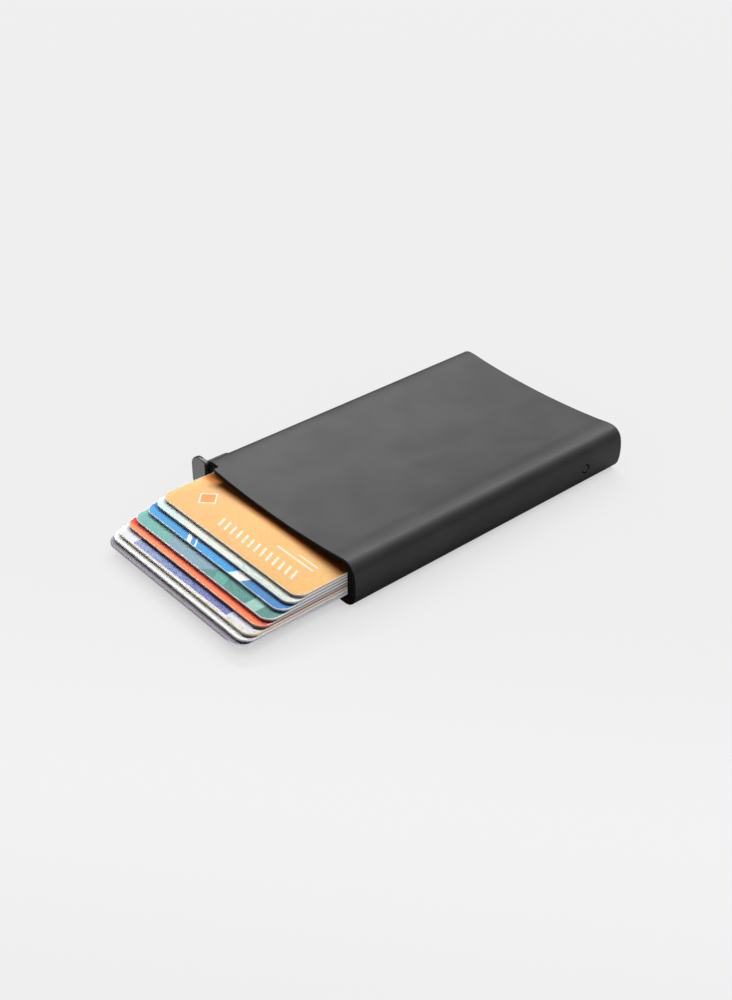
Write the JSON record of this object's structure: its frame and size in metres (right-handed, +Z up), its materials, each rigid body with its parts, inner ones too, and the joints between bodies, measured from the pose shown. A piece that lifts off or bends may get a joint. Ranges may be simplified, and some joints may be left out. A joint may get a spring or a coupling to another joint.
{
  "type": "card holder",
  "caption": "Slim aluminium card holder with a side thumb slider that fans the cards out of its mouth through a stepped lever.",
  "frame": {"origin": "bottom centre of the whole object as it lies, with the cards fanned out and the thumb slider at the mouth", "axes": "+Z up from the table, +Y along the sleeve from the mouth to the closed end, +X to the plain side wall opposite the thumb slider"},
  "size_m": [0.0654, 0.1226, 0.0124],
  "materials": {
    "anodised_aluminium": "matt titanium-grey anodising over a fine bead-blasted surface",
    "tab_aluminium": "matt grey anodising, polished by the thumb along its edge",
    "black_plastic": "matt black moulded plastic",
    "steel": "plain turned steel",
    "felt": "dense black felt",
    "card_orange": null,
    "card_pale": "printed satin PVC",
    "card_blue": "printed satin PVC with plain pale bars",
    "card_teal": "printed satin PVC with soft blocks of teal",
    "card_coral": "printed satin PVC",
    "card_violet": null,
    "card_white": "plain satin PVC",
    "card_grey": "plain satin PVC"
  },
  "bodies": {
    "holder": {"sleeve": "anodised_aluminium", "end_cap": "black_plastic", "locking_peg": "steel", "side_guide": "black_plastic", "brake_pad_left": "felt", "brake_pad_right": "felt", "lever_pin": "steel"},
    "slider": {"slider_carriage": "black_plastic", "thumb_tab": "tab_aluminium", "tab_rivet_lower": "steel", "tab_rivet_upper": "steel"},
    "lever": {"fan_lever": "black_plastic"},
    "card_1": {"card_1_orange": "card_orange"},
    "card_2": {"card_2_pale": "card_pale"},
    "card_3": {"card_3_blue": "card_blue"},
    "card_4": {"card_4_teal": "card_teal"},
    "card_5": {"card_5_coral": "card_coral"},
    "card_6": {"card_6_violet": "card_violet"},
    "card_7": {"card_7_white": "card_white"},
    "card_8": {"card_8_grey": "card_grey"}
  },
  "joints": [
    {"name": "thumb_slide", "type": "slide", "parent": "holder", "child": "slider", "axis": [0, 1, 0], "range_m": [0, 0.0206]},
    {"name": "lever_turn", "type": "hinge", "parent": "holder", "child": "lever", "pos_m": [0.02765, 0.05695, 0.0062], "axis": [0, 0, -1], "range_deg": [0, 38]},
    {"name": "card_1_slide", "type": "slide", "parent": "holder", "child": "card_1", "axis": [0, 1, 0], "range_m": [0, 0.0148]},
    {"name": "card_2_slide", "type": "slide", "parent": "holder", "child": "card_2", "axis": [0, 1, 0], "range_m": [0, 0.0171]},
    {"name": "card_3_slide", "type": "slide", "parent": "holder", "child": "card_3", "axis": [0, 1, 0], "range_m": [0, 0.0197]},
    {"name": "card_4_slide", "type": "slide", "parent": "holder", "child": "card_4", "axis": [0, 1, 0], "range_m": [0, 0.0233]},
    {"name": "card_5_slide", "type": "slide", "parent": "holder", "child": "card_5", "axis": [0, 1, 0], "range_m": [0, 0.0255]},
    {"name": "card_6_slide", "type": "slide", "parent": "holder", "child": "card_6", "axis": [0, 1, 0], "range_m": [0, 0.0284]},
    {"name": "card_7_slide", "type": "slide", "parent": "holder", "child": "card_7", "axis": [0, 1, 0], "range_m": [0, 0.0299]},
    {"name": "card_8_slide", "type": "slide", "parent": "holder", "child": "card_8", "axis": [0, 1, 0], "range_m": [0, 0.0312]}
  ],
  "couplings": [
    {"joint": "lever_turn", "follows": "thumb_slide", "rad_per_m": 32.19},
    {"joint": "card_1_slide", "follows": "thumb_slide", "ratio": 0.7184},
    {"joint": "card_2_slide", "follows": "thumb_slide", "ratio": 0.83},
    {"joint": "card_3_slide", "follows": "thumb_slide", "ratio": 0.9563},
    {"joint": "card_4_slide", "follows": "thumb_slide", "ratio": 1.131},
    {"joint": "card_5_slide", "follows": "thumb_slide", "ratio": 1.2378},
    {"joint": "card_6_slide", "follows": "thumb_slide", "ratio": 1.3786},
    {"joint": "card_7_slide", "follows": "thumb_slide", "ratio": 1.4514},
    {"joint": "card_8_slide", "follows": "thumb_slide", "ratio": 1.5145}
  ]
}
